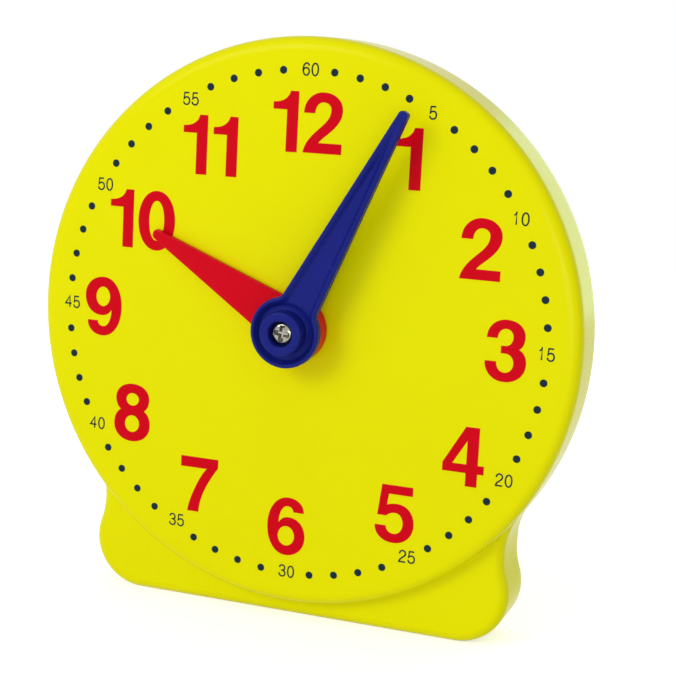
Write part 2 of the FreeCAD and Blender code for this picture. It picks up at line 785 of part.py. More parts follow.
hour_wheel = new_body("hour_wheel")
gear_blank(hour_wheel, "hour_blank", "hour_count", True, "hour_wheel_front", "wheel_thick")
pipe = circles(hour_wheel, "pipe", behind("hour_wheel_front"), "pipe_radius")
pad(hour_wheel, pipe, "hour_wheel_front + pipe_top", inwards=False)
bore = circles(hour_wheel, "pipe_bore", "pipe_top", "arbor_radius + running_gap")
pocket(hour_wheel, bore, "pipe_top + hour_wheel_back + overrun")
flat = new_sketch(hour_wheel, "pipe_flat", "pipe_top", turn="hour_angle")
draw_polygon(
    flat,
    [
        ("pipe_radius - drive_flat", "0 - pipe_radius - overrun"),
        ("pipe_radius + overrun", "0 - pipe_radius - overrun"),
        ("pipe_radius + overrun", "pipe_radius + overrun"),
        ("pipe_radius - drive_flat", "pipe_radius + overrun"),
    ],
)
pocket(hour_wheel, flat, "pipe_top - hour_gap / 2")
cut_teeth(hour_wheel, "hour", "hour_count", True, "hour_wheel_front", "wheel_thick", "0")


# Compound gear on the idler pin; its wheel's gap and its pinion's tooth face the centre

pinion_length = "idler_wheel_front - idler_pinion_front"
idler_bore = "pin_radius + running_gap"
idler_hub = "pin_radius + running_gap + idler_hub_wall"
compound = new_body("compound_gear", rise="gear_distance")
gear_blank(
    compound, "idler_blank", "idler_wheel_count", True, "idler_wheel_front", "wheel_thick"
)
gear_blank(compound, "pinion_blank", "idler_count", False, "idler_pinion_front", pinion_length)
hub = circles(compound, "idler_hub", behind("idler_wheel_back"), idler_hub)
pad(compound, hub, "idler_washer_front - end_play - idler_wheel_back")
pocket(compound, circles(compound, "idler_bore", "0", idler_bore), "disc_depth")
cut_teeth(
    compound, "idler", "idler_wheel_count", True, "idler_wheel_front", "wheel_thick", "180"
)
cut_teeth(
    compound,
    "idler_pinion",
    "idler_count",
    False,
    "idler_pinion_front",
    pinion_length,
    "180 + 180 / idler_count",
)


# Minute arbor; a tooth of its pinion faces the idler's wheel

pinion_length = "collar_front - idler_wheel_front"
arbor = new_body("minute_arbor")
gear_blank(arbor, "minute_blank", "minute_count", False, "idler_wheel_front", pinion_length)
shaft = circles(arbor, "arbor_shaft", behind("idler_wheel_front"), "arbor_radius")
pad(arbor, shaft, "idler_wheel_front + minute_under", inwards=False)
drive = new_sketch(arbor, "arbor_drive", "minute_under", turn="minute_angle")
draw_dee(drive, "drive_radius", "drive_flat")
pad(arbor, drive, "drive_length", inwards=False)
collar = circles(arbor, "arbor_collar", behind("collar_front"), "arbor_radius + collar_step")
pad(arbor, collar, "collar_thick")
journal = circles(arbor, "arbor_journal", behind("collar_back"), "journal_radius")
pad(arbor, journal, "socket_end - end_play - collar_back")
pilot = circles(arbor, "screw_pilot", "drive_top", "hand_screw_radius + seat_gap")
pocket(arbor, pilot, "hand_screw_length - hand_web + hole_room")
cut_teeth(
    arbor,
    "minute",
    "minute_count",
    False,
    "idler_wheel_front",
    pinion_length,
    "180 / minute_count",
)


# Hour hand: a tapered arm with an eased top edge, and a deep hub over the pipe

hour_hand = new_body("hour_hand", turn="hour_angle")
arm = new_sketch(hour_hand, "hour_arm", "hour_gap")
draw_tapered_slot(arm, "hour_root_half", "hour_tip_radius", "hour_reach")
pad(hour_hand, arm, "hour_thick", inwards=False)
arm_top = "hour_gap + hour_thick"
ease_edges(hour_hand, "Chamfer", "hour_arm_bevel", "arm_edge", lambda edge: lies_at(edge, arm_top))
pad(hour_hand, circles(hour_hand, "hour_hub", "hour_gap", "hub_radius"), "hour_hub_height", False)
hub_top = "hour_hub_top"
ease_edges(hour_hand, "Chamfer", "hour_hub_bevel", "hub_edge", lambda edge: lies_at(edge, hub_top))
socket = new_sketch(hour_hand, "hour_socket", "hour_gap")
draw_dee(socket, "pipe_radius + seat_gap", "drive_flat")
pocket(hour_hand, socket, "hour_hub_height - hub_cap + seat_gap", inwards=False)
hole = circles(hour_hand, "hour_cap_hole", "hour_hub_top", "arbor_radius + turning_gap")
pocket(hour_hand, hole, "hub_cap + overrun")


# Minute hand: a rimmed channel from the hub to the tip, and a boss that hides the screw

minute_hand = new_body("minute_hand", turn="minute_angle")
blank = new_sketch(minute_hand, "minute_outline", "minute_under")
draw_hand(
    blank, "hub_radius", "minute_root_half", "minute_tip_radius", "minute_reach", "hand_corner"
)
pad(minute_hand, blank, "minute_thick", inwards=False)
channel = new_sketch(minute_hand, "minute_channel", "rim_top")
draw_hand(
    channel,
    "channel_hub",
    "channel_root",
    "channel_tip_radius",
    "channel_reach",
    "hand_corner + rim_wall",
)
pocket(minute_hand, channel, "channel_depth")
floor = circles(minute_hand, "hub_floor", "rim_top", "channel_hub")
pocket(minute_hand, floor, "hub_floor_depth")
boss = circles(minute_hand, "hand_boss", "rim_top - hub_floor_depth", "hand_boss_radius")
pad(minute_hand, boss, "boss_top - rim_top + hub_floor_depth", inwards=False)
ease_edges(
    minute_hand, "Chamfer", "boss_bevel", "boss_edge", lambda edge: lies_at(edge, "boss_top")
)
bore = circles(minute_hand, "screw_bore", "boss_top", "counterbore_radius")
pocket(minute_hand, bore, "boss_top - head_seat")
hole = circles(minute_hand, "screw_hole", "head_seat", "hand_screw_radius + hole_room")
pocket(minute_hand, hole, "hand_web + overrun")
socket = new_sketch(minute_hand, "minute_socket", "minute_under")
draw_dee(socket, "drive_radius + seat_gap", "drive_flat")
pocket(minute_hand, socket, "drive_length + seat_gap", inwards=False)


# Screws: a pan head with a bevelled top on a plain shank

def set_primitive(kind, name, across, up, height, **lengths):
    """A primitive of the part workbench with its lengths and its place in the dial frame."""
    piece = doc.addObject("Part::" + kind, name)
    for key, text in lengths.items():
        piece.setExpression(key, bound(text))
    for axis, text in (("x", across), ("y", up), ("z", height)):
        piece.setExpression("Placement.Base." + axis, bound(text))
    return piece


def fuse(name, base, tool):
    piece = doc.addObject("Part::Fuse", name)
    piece.Base = base
    piece.Tool = tool
    return piece


def screw(name, across, up, seat, outwards, shank, length, head, thick, edge):
    """A screw whose head lies on a seat height, facing the viewer or the back."""
    drum_height = "%s - %s" % (thick, edge)
    small = "%s - %s" % (head, edge)
    if outwards:
        stem_from, drum_from = "%s - %s" % (seat, length), seat
        crown_from = "%s + %s" % (seat, drum_height)
        radii = {"Radius1": head, "Radius2": small}
    else:
        stem_from, drum_from = seat, "%s - (%s)" % (seat, drum_height)
        crown_from = "%s - %s" % (seat, thick)
        radii = {"Radius1": small, "Radius2": head}
    stem = set_primitive(
        "Cylinder", name + "_stem", across, up, stem_from, Radius=shank, Height=length
    )
    drum = set_primitive(
        "Cylinder", name + "_drum", across, up, drum_from, Radius=head, Height=drum_height
    )
    crown = set_primitive("Cone", name + "_crown", across, up, crown_from, Height=edge, **radii)
    return fuse(name, fuse(name + "_head", drum, crown), stem)


hand_screw = screw(
    "hand_screw",
    "0",
    "0",
    "head_seat",
    True,
    "hand_screw_radius",
    "hand_screw_length",
    "hand_head_radius",
    "hand_head_thick",
    "hand_head_edge",
)
place(hand_screw, turn="minute_angle")

screws = []
for places, back in ((upper_places, "disc_depth"), (lower_places, "foot_depth")):
    for across, up in places:
        screws.append(
            screw(
                "cover_screw",
                across,
                up,
                "screw_head_thick - %s" % back,
                False,
                "screw_radius",
                "screw_length - cover_thick + screw_head_thick",
                "screw_head_radius",
                "screw_head_thick",
                "screw_edge",
            )
        )
cover_screws = doc.addObject("Part::Compound", "cover_screws")
cover_screws.Links = screws
place(cover_screws)
doc.recompute()


# Check and write every piece

nodes = [item for item in doc.Objects if item.isDerivedFrom("PartDesign::Body")]
nodes += [hand_screw, cover_screws]
for item in doc.Objects:
    if "Invalid" in item.State or "Error" in item.State:
        raise ValueError(item.Name + " failed: " + ", ".join(item.State))
for item in nodes:
    if item.Shape.isNull() or not item.Shape.isValid():
        raise ValueError(item.Label + " has no valid shape")
os.makedirs("parts", exist_ok=True)
for item in nodes:
    item.Shape.exportStep("parts/%s.step" % item.Label)
    box = item.Shape.BoundBox
    print(
        "%-16s %2d solid(s) %10.2f mm3  x %7.2f %7.2f  y %7.2f %7.2f  z %7.2f %7.2f"
        % (
            item.Label,
            len(item.Shape.Solids),
            item.Shape.Volume,
            box.XMin,
            box.XMax,
            box.YMin,
            box.YMax,
            box.ZMin,
            box.ZMax,
        )
    )
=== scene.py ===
import json
import math

import bmesh
import bpy
import numpy as np
from mathutils import Matrix, Vector

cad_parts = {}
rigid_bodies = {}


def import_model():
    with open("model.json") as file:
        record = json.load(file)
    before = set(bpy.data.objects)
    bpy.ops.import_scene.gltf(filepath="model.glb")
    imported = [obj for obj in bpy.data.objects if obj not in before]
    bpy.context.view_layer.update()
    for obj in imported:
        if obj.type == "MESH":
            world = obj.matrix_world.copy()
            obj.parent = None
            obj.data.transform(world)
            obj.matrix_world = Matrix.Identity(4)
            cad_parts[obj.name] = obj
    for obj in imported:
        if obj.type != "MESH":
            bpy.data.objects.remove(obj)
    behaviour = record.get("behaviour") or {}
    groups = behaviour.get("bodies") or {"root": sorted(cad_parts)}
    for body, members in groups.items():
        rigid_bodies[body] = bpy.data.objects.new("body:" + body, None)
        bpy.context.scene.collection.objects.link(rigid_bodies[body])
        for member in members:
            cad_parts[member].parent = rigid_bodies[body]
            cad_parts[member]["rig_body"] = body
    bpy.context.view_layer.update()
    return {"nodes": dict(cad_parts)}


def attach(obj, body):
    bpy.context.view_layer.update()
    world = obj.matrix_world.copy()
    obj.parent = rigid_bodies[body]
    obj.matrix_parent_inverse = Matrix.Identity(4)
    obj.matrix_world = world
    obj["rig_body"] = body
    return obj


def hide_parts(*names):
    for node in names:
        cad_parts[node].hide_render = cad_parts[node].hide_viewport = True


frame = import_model()
nodes = frame["nodes"]
mm = 0.001
dialCentre = np.array([0.0, -0.01225, 0.0655])  # middle of the dial, on its face
print("frame loaded:", len(nodes), "nodes")


# camera, solved from the ring of minute dots in the photograph
camera = {
    "place": (0.1193, -0.32685, 0.1221),
    "right": (0.93982, 0.33767, 0.05223),
    "down": (0.10626, -0.14355, -0.98392),
    "forward": (-0.32474, 0.93025, -0.17080),
    "lens": 84.99,
    "sensor": 36.0,
    "clip": (0.01, 50),
}
cameraData = bpy.data.cameras.new("camera")
cameraData.lens = camera["lens"]
cameraData.sensor_width = camera["sensor"]
cameraData.clip_start, cameraData.clip_end = camera["clip"]
cameraObject = bpy.data.objects.new("camera", cameraData)
bpy.context.scene.collection.objects.link(cameraObject)
axes = np.array([camera["right"], np.negative(camera["down"]), np.negative(camera["forward"])])
turn = Matrix(axes.T.tolist()).to_4x4()
turn.translation = camera["place"]
cameraObject.matrix_world = turn
bpy.context.scene.camera = cameraObject
bpy.context.scene.view_settings.view_transform = "Standard"


# colours are written as sRGB hex and turned to linear here
def linearColour(text):
    share = np.array([int(text[i:i + 2], 16) / 255 for i in (0, 2, 4)])
    low, high = share / 12.92, ((share + 0.055) / 1.055) ** 2.4
    return (*np.where(share <= 0.04045, low, high), 1.0)


# adds a node; an input is either a value or the socket that drives it
def addNode(tree, kind, inputs=None, **settings):
    node = tree.nodes.new(kind)
    for name, setting in settings.items():
        setattr(node, name, setting)
    for name, source in (inputs or {}).items():
        if isinstance(source, bpy.types.NodeSocket):
            tree.links.new(source, node.inputs[name])
        else:
            node.inputs[name].default_value = source
    return node


def newMaterial(name):
    material = bpy.data.materials.new(name)
    material.use_nodes = True
    tree = material.node_tree
    tree.nodes.clear()
    return material, tree


# what all mouldings share: rubs are noise stretched along one leaning direction, and only
# its peaks show; flow mottling moves the roughness by its share either way. "gloss" is the
# specular level, low on the pieces in front because the white studio would veil them
moulding = {"rubLean": 0.6, "rubStretch": 14, "rubPeaks": (0.62, 0.74),
            "flowBand": (0.3, 0.7), "glossDrift": 0.15}


# injection moulded plastic: one colour through, a faint orange peel from the polished
# tool, slow flow mottling and a few fine rubbed marks that only dull the gloss
def mouldedPlastic(name, look):
    material, tree = newMaterial(name)
    place = addNode(tree, "ShaderNodeTexCoord").outputs["Object"]
    flow = addNode(tree, "ShaderNodeTexNoise",
                   {"Vector": place, "Scale": 1 / (look["flowSize"] * mm), "Detail": 3.0})
    peel = addNode(tree, "ShaderNodeTexNoise",
                   {"Vector": place, "Scale": 1 / (look["peelSize"] * mm), "Detail": 1.0})
    stretched = addNode(tree, "ShaderNodeMapping",
                        {"Vector": place, "Rotation": (0, moulding["rubLean"], 0),
                         "Scale": (1, 1, moulding["rubStretch"])})
    rubs = addNode(tree, "ShaderNodeTexNoise",
                   {"Vector": stretched.outputs[0], "Scale": 1 / (look["rubSize"] * mm),
                    "Detail": 2.0})
    low, high = moulding["rubPeaks"]
    rubbed = addNode(tree, "ShaderNodeMapRange",
                     {"Value": rubs.outputs[0], "From Min": low, "From Max": high,
                      "To Min": 0.0, "To Max": look["rubDulling"]})
    low, high = moulding["flowBand"]
    drift = addNode(tree, "ShaderNodeMapRange",
                    {"Value": flow.outputs[0], "From Min": low, "From Max": high,
                     "To Min": look["roughness"] * (1 - moulding["glossDrift"]),
                     "To Max": look["roughness"] * (1 + moulding["glossDrift"])})
    roughness = addNode(tree, "ShaderNodeMath",
                        {0: drift.outputs[0], 1: rubbed.outputs[0]}, operation="ADD")
    shade = addNode(tree, "ShaderNodeMix",
                    {"Factor": flow.outputs[0], "A": linearColour(look["deep"]),
                     "B": linearColour(look["colour"])}, data_type="RGBA")
    bump = addNode(tree, "ShaderNodeBump",
                   {"Height": peel.outputs[0], "Strength": 1.0,
                    "Distance": look["peelDepth"] * mm})
    shader = addNode(tree, "ShaderNodeBsdfPrincipled",
                     {"Base Color": shade.outputs["Result"], "Roughness": roughness.outputs[0],
                      "IOR": look["ior"], "Specular IOR Level": look["gloss"],
                      "Normal": bump.outputs[0]})
    addNode(tree, "ShaderNodeOutputMaterial", {"Surface": shader.outputs[0]})
    return material


# glossy ABS of the shell: saturated lemon yellow that goes greenish in its own shade
yellowShell = mouldedPlastic("glossyYellowAbs", {
    "colour": "ecea00", "deep": "e8e300", "roughness": 0.2, "ior": 1.54, "gloss": 0.05,
    "flowSize": 28, "peelSize": 1.4, "peelDepth": 0.004, "rubSize": 2.2, "rubDulling": 0.1})
# the same ABS from a tool that is blasted, not polished, for the back
yellowCover = mouldedPlastic("satinYellowAbs", {
    "colour": "e4e000", "deep": "dcd800", "roughness": 0.42, "ior": 1.54, "gloss": 0.3,
    "flowSize": 28, "peelSize": 0.5, "peelDepth": 0.01, "rubSize": 2.2, "rubDulling": 0.1})
# polystyrene of the hands: hard, deep in colour and polished by its tool
redPlastic = mouldedPlastic("glossyRedPolystyrene", {
    "colour": "d8001c", "deep": "d0001b", "roughness": 0.22, "ior": 1.59, "gloss": 0.05,
    "flowSize": 12, "peelSize": 1.1, "peelDepth": 0.004, "rubSize": 1.6, "rubDulling": 0.1})
bluePlastic = mouldedPlastic("glossyBluePolystyrene", {
    "colour": "1a2382", "deep": "17207a", "roughness": 0.24, "ior": 1.59, "gloss": 0.06,
    "flowSize": 12, "peelSize": 1.1, "peelDepth": 0.004, "rubSize": 1.6, "rubDulling": 0.1})
# natural acetal of the wheels: milky, slightly warm, waxy
acetal = mouldedPlastic("naturalAcetal", {
    "colour": "efece2", "deep": "e8e4d8", "roughness": 0.38, "ior": 1.48, "gloss": 0.5,
    "flowSize": 6, "peelSize": 0.6, "peelDepth": 0.003, "rubSize": 1.2, "rubDulling": 0.08})


metalDrift = 0.3  # share by which the grain moves a metal's roughness either way


# stamped, ground or plated metal: a fine even grain that varies its shade and gloss a
# little and roughens its surface by a few thousandths of a millimetre
def smallMetal(name, look):
    material, tree = newMaterial(name)
    place = addNode(tree, "ShaderNodeTexCoord").outputs["Object"]
    grain = addNode(tree, "ShaderNodeTexNoise",
                    {"Vector": place, "Scale": 1 / (look["grainSize"] * mm), "Detail": 2.0})
    roughness = addNode(tree, "ShaderNodeMapRange",
                        {"Value": grain.outputs[0],
                         "To Min": look["roughness"] * (1 - metalDrift),
                         "To Max": look["roughness"] * (1 + metalDrift)})
    bump = addNode(tree, "ShaderNodeBump",
                   {"Height": grain.outputs[0], "Strength": 1.0,
                    "Distance": look["grainDepth"] * mm})
    shade = addNode(tree, "ShaderNodeMix",
                    {"Factor": grain.outputs[0], "A": linearColour(look["deep"]),
                     "B": linearColour(look["colour"])}, data_type="RGBA")
    shader = addNode(tree, "ShaderNodeBsdfPrincipled",
                     {"Base Color": shade.outputs["Result"], "Metallic": 1.0,
                      "Roughness": roughness.outputs[0], "Normal": bump.outputs[0]})
    addNode(tree, "ShaderNodeOutputMaterial", {"Surface": shader.outputs[0]})
    return material


# bright zinc plate on rolled screws, plain stamped washers, dished spring, ground pin
zincPlate = smallMetal("brightZincPlate", {
    "colour": "aeaca2", "deep": "8c8a80", "roughness": 0.16,
    "grainSize": 0.12, "grainDepth": 0.002})
washerSteel = smallMetal("stampedSteel", {
    "colour": "c3c5c7", "deep": "aeb0b2", "roughness": 0.3,
    "grainSize": 0.2, "grainDepth": 0.003})
springSteel = smallMetal("blueGreySpringSteel", {
    "colour": "a9adb2", "deep": "94989e", "roughness": 0.28,
    "grainSize": 0.2, "grainDepth": 0.003})
pinSteel = smallMetal("groundSteel", {
    "colour": "cccdcf", "deep": "bcbdbf", "roughness": 0.14,
    "grainSize": 0.1, "grainDepth": 0.001})


# screen printed ink: flat colour, duller than the moulding under it, with the faint
# roughness of the mesh that it went through
def screenInk(name, look):
    material, tree = newMaterial(name)
    place = addNode(tree, "ShaderNodeTexCoord").outputs["Object"]
    grain = addNode(tree, "ShaderNodeTexNoise",
                    {"Vector": place, "Scale": 1 / (look["grainSize"] * mm), "Detail": 2.0})
    shade = addNode(tree, "ShaderNodeMix",
                    {"Factor": grain.outputs[0], "A": linearColour(look["deep"]),
                     "B": linearColour(look["colour"])}, data_type="RGBA")
    bump = addNode(tree, "ShaderNodeBump",
                   {"Height": grain.outputs[0], "Strength": 1.0,
                    "Distance": look["grainDepth"] * mm})
    shader = addNode(tree, "ShaderNodeBsdfPrincipled",
                     {"Base Color": shade.outputs["Result"], "Roughness": look["roughness"],
                      "Specular IOR Level": look["gloss"], "Normal": bump.outputs[0]})
    addNode(tree, "ShaderNodeOutputMaterial", {"Surface": shader.outputs[0]})
    return material


redInk = screenInk("redScreenInk", {
    "colour": "d60019", "deep": "ce0018", "roughness": 0.3, "gloss": 0.06,
    "grainSize": 0.5, "grainDepth": 0.002})
navyInk = screenInk("navyScreenInk", {
    "colour": "183040", "deep": "142a38", "roughness": 0.32, "gloss": 0.06,
    "grainSize": 0.5, "grainDepth": 0.002})
print("materials made")


# a finished object with its place in its mesh, on a body, with a material
def finishPiece(name, mesh, material, body):
    piece = bpy.data.objects.new(name, mesh)
    bpy.context.scene.collection.objects.link(piece)
    mesh.materials.clear()
    mesh.materials.append(material)
    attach(piece, body)
    return piece


# each CAD form with its plastic or metal and the radius, in millimetres, that the tool or
# the press leaves on its edges
dressed = {
    "front_shell": (yellowShell, "yellow_shell", 0.25),
    "rear_cover": (yellowCover, "yellow_cover", 0.2),
    "centre_bush": (acetal, "bearing_plastic", 0.1),
    "hour_washer": (washerSteel, "washer_steel", 0.05),
    "thrust_washer": (washerSteel, "washer_steel", 0.05),
    "idler_washer": (washerSteel, "washer_steel", 0.05),
    "friction_spring": (springSteel, "spring_steel", 0.04),
    "idler_pin": (pinSteel, "pin_steel", 0.15),
    "hour_wheel": (acetal, "gear_plastic", 0.08),
    "compound_gear": (acetal, "gear_plastic", 0.08),
    "minute_arbor": (acetal, "gear_plastic", 0.08),
}


# how a copy of a CAD mesh is cleaned: points closer than "merge" and edges shorter than
# "shortest", in millimetres, go, and faces that turn less than "flat" degrees become one
cleaning = {"merge": 0.002, "shortest": 0.001, "flat": 0.3, "sharpFrom": 40, "flatWeight": 100}

# the dial's rounded rim is three flats in the solid. Its bends lie between two distances
# from the middle and in front of a depth, and turn by an angle between the two limits.
# Each is bent wide, so that the flats run into each other.
dialRim = {"from": 58.0, "upTo": 61.7, "behind": -9.0, "turnsFrom": 8, "turnsTo": 42,
           "bend": 0.6, "segments": 5}


def weighRim(shape):
    layer = shape.edges.layers.float.new("bevel_weight_edge")
    for edge in shape.edges:
        ends = np.array([corner.co for corner in edge.verts]) / mm
        away = np.linalg.norm((ends - dialCentre / mm)[:, [0, 2]], axis=1)
        onRim = (away.min() > dialRim["from"] and away.max() < dialRim["upTo"]
                 and ends[:, 1].max() < dialRim["behind"])
        if len(edge.link_faces) == 2 and onRim:
            bend = math.degrees(edge.calc_face_angle())
            if dialRim["turnsFrom"] < bend < dialRim["turnsTo"]:
                edge[layer] = 1.0


# a modifier that rounds edges by a width in millimetres
def addBevel(piece, name, width, segments, limit):
    bevel = piece.modifiers.new(name, "BEVEL")
    bevel.width = width * mm
    bevel.segments = segments
    bevel.limit_method = limit
    bevel.use_clamp_overlap = False
    return bevel


# a CAD node whose form is right: its triangles are merged in a copy, flat faces become
# whole again, sharp edges are rounded, and curved faces are smooth
def dressNode(name, material, easing):
    node = nodes[name]
    mesh = node.data.copy()
    mesh.name = name + "Mesh"
    if mesh.has_custom_normals:
        mesh.attributes.remove(mesh.attributes["custom_normal"])
    shape = bmesh.new()
    shape.from_mesh(mesh)
    bmesh.ops.remove_doubles(shape, verts=shape.verts, dist=cleaning["merge"] * mm)
    bmesh.ops.dissolve_degenerate(shape, edges=shape.edges, dist=cleaning["shortest"] * mm)
    bmesh.ops.dissolve_limit(shape, angle_limit=math.radians(cleaning["flat"]),
                             verts=shape.verts, edges=shape.edges, delimit=set())
    for face in shape.faces:
        face.smooth = True
    if name == "front_shell":
        weighRim(shape)
    shape.to_mesh(mesh)
    shape.free()
    piece = finishPiece(name + "Piece", mesh, material, node["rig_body"])
    if name == "front_shell":
        addBevel(piece, "roundRim", dialRim["bend"], dialRim["segments"], "WEIGHT")
    ease = addBevel(piece, "easedEdges", easing, 3, "ANGLE")
    ease.angle_limit = math.radians(cleaning["sharpFrom"])
    level = piece.modifiers.new("flatFacesFlat", "WEIGHTED_NORMAL")
    level.keep_sharp = True
    level.weight = cleaning["flatWeight"]
    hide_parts(name)


for name, (material, slot, easing) in dressed.items():
    dressNode(name, material, easing)
print("CAD forms dressed")


# closed grid: row k of the points is joined to row k + 1, and each row to itself
def wrapFaces(rows, count, closed):
    row = np.arange(rows if closed else rows - 1)[:, None]
    column = np.arange(count)[None, :]
    nextRow, nextColumn = (row + 1) % rows, (column + 1) % count
    return np.stack([row * count + column, row * count + nextColumn,
                     nextRow * count + nextColumn, nextRow * count + column],
                    2).reshape(-1, 4)


# dial frame to world: first across and up, turned clockwise by the hand's angle, then the
# height above the face, which points to -y
def fromDial(points, angle):
    across, up, height = points[:, 0], points[:, 1], points[:, 2]
    bend = math.radians(angle)
    return np.stack([across * math.cos(bend) + up * math.sin(bend), -height,
                     up * math.cos(bend) - across * math.sin(bend)], 1) * mm + dialCentre


# points on each stretch of a hand's outline
outlinePoints = {"heel": 48, "hollow": 9, "side": 44, "toe": 10}


# plan of a hand: half a hub circle from the heel, the hollow corner, the straight side
# that passes the centre at the root's distance, a blunt quarter tip, then its mirror.
# The tip bends as x = tip cos^q, y = tip sin^q, where q below 1 squares it.
def handOutline(hub, root, tip, reach, corner, blunt):
    lean = math.asin((root - tip) / reach)
    along = math.sqrt((hub + corner) ** 2 - (root + corner) ** 2)
    out = np.array([math.cos(lean), math.sin(lean)])
    middle = out * (root + corner) + np.array([-out[1], out[0]]) * along
    leave = math.atan2(middle[1], middle[0])
    bow = np.linspace(-np.pi / 2, leave, outlinePoints["heel"])
    heel = hub * np.stack([np.cos(bow), np.sin(bow)], 1)
    bow = np.linspace(leave, lean, outlinePoints["hollow"])[1:] + np.pi
    hollow = middle + corner * np.stack([np.cos(bow), np.sin(bow)], 1)
    share = np.linspace(0, 1, outlinePoints["side"])[1:, None]
    side = hollow[-1] + share * (np.array([0, reach]) + out * tip - hollow[-1])
    bow = np.linspace(lean, np.pi / 2, outlinePoints["toe"])[1:]
    toe = np.array([0, reach]) + tip * np.stack([np.cos(bow) ** blunt, np.sin(bow) ** blunt], 1)
    half = np.vstack([heel, hollow, side, toe])
    half[-1, 0] = 0
    return np.vstack([half, (half * (-1, 1))[-2:0:-1]])


# circles of a profile of radii and heights, met by the rays to the outline's points
def circles(profile, outline):
    angle = np.arctan2(outline[:, 1], outline[:, 0])
    ray = np.stack([np.cos(angle), np.sin(angle)], 1)
    return [np.column_stack([radius * ray, np.full(len(ray), height)])
            for radius, height in profile]


# quarter bow between two levels: across from a to b while the height goes from c to d,
# upright first or level first
def quarter(a, b, c, d, upright, steps):
    angle = np.linspace(0, np.pi / 2, steps + 1)
    if upright:
        return list(zip(b + (a - b) * np.cos(angle), c + (d - c) * np.sin(angle)))
    return list(zip(a + (b - a) * np.sin(angle), d + (c - d) * np.cos(angle)))


gridMerge = 0.0005  # millimetres, for the points at a grid's poles and seams


# a finished smooth piece from grids of points, in place of a CAD node
def shapedPiece(name, grids, angle, material):
    vertices, faces = [], []
    for loops, closed in grids:
        loops = np.array(loops)
        faces += (wrapFaces(len(loops), loops.shape[1], closed)
                  + sum(map(len, vertices))).tolist()
        vertices.append(loops.reshape(-1, 3))
    mesh = bpy.data.meshes.new(name + "Mesh")
    mesh.from_pydata(fromDial(np.vstack(vertices), angle).tolist(), [], faces)
    shape = bmesh.new()
    shape.from_mesh(mesh)
    bmesh.ops.remove_doubles(shape, verts=shape.verts, dist=gridMerge * mm)
    bmesh.ops.recalc_face_normals(shape, faces=shape.faces)
    for face in shape.faces:
        face.smooth = True
    shape.to_mesh(mesh)
    shape.free()
    mesh.set_sharp_from_angle(angle=math.radians(cleaning["sharpFrom"]))
    piece = finishPiece(name + "Piece", mesh, material, nodes[name]["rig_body"])
    level = piece.modifiers.new("flatFacesFlat", "WEIGHTED_NORMAL")
    level.keep_sharp = True
    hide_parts(name)


# blue minute hand, heights in millimetres above the face: rounded rim along hub and arm,
# a soft trough between, a deeper groove round the boss and a step down into it
blue = {
    # plan, and the angle from twelve o'clock
    "hub": 7.6, "root": 4.7, "tip": 1.05, "reach": 51.8, "corner": 2.0, "blunt": 0.75,
    "angle": 26.5,
    # rim, and the edge under it
    "rimHalf": 0.55, "under": 5.45, "rim": 7.75, "rounding": 0.5,
    "underRise": 0.15, "underIn": 0.25,
    # trough with its slope to the rim, which fades out where the tip gets narrow, and the
    # step down to the groove, which starts some way up the arm
    "trough": 6.8, "groove": 6.25, "slope": 1.25, "fadeFrom": 0.45, "fadeOver": 0.9,
    "stepFrom": 5.6, "stepTo": 6.35, "stepStart": 2.5, "stepGrow": 1.5,
    # boss, counterbore for the screw's head, screw hole and the arbor's socket
    "boss": 4.6, "bossTop": 9.95, "bossRounding": 0.45, "footRounding": 0.35,
    "footWall": 0.4, "bore": 2.75, "boreRounding": 0.25, "seat": 7.45, "screwHole": 1.15,
    "socket": 2.15, "socketTop": 6.9,
}


# height of the front inside the rim's crest: the floor, minus half a cosine wave that
# climbs to the rim within the slope's width, and a hollow bow at the boss's foot
def blueFront(plan, crest):
    radius = np.linalg.norm(plan, axis=1)
    gap = np.linalg.norm(plan[:, None] - crest[None], axis=2).min(1)
    right = crest[(crest[:, 0] > 0) & (crest[:, 1] > 0)]
    order = np.argsort(right[:, 1])
    halfWidth = np.interp(plan[:, 1], right[order, 1], right[order, 0])
    fade = np.clip((halfWidth - blue["fadeFrom"]) / blue["fadeOver"], 0, 1)
    arm = blue["rim"] - (blue["rim"] - blue["trough"]) * np.where(plan[:, 1] > 0, fade, 1)
    step = np.clip((radius - blue["stepFrom"]) / (blue["stepTo"] - blue["stepFrom"]), 0, 1)
    grown = np.clip((plan[:, 1] - blue["stepStart"]) / blue["stepGrow"], 0, 1)
    step = (1 - np.cos(np.pi * step)) / 2 * grown
    floor = blue["groove"] + (arm - blue["groove"]) * step
    rise = np.clip(gap / blue["slope"], 0, 1)
    height = floor + (blue["rim"] - floor) * (1 + np.cos(np.pi * rise)) / 2
    bow = blue["footRounding"]
    foot = np.clip((blue["boss"] + bow - radius) / bow, 0, 1)
    return height + bow * (1 - np.sqrt(1 - foot ** 2))


# dense polyline of a closed outline, for distances
def finer(outline, count=12):
    share = np.arange(count)[:, None, None] / count
    return (outline + share * (np.roll(outline, -1, 0) - outline)).reshape(-1, 2)


# loop between two outlines with the same number of points, at one height
def insetLoop(outer, inner, share, height):
    plan = outer + share * (inner - outer)
    return np.column_stack([plan, np.full(len(plan), height)])


outer = handOutline(blue["hub"], blue["root"], blue["tip"], blue["reach"], blue["corner"],
                    blue["blunt"])
half = blue["rimHalf"]
crest = handOutline(blue["hub"] - half, blue["root"] - half, blue["tip"] - half,
                    blue["reach"], blue["corner"] + half, blue["blunt"])
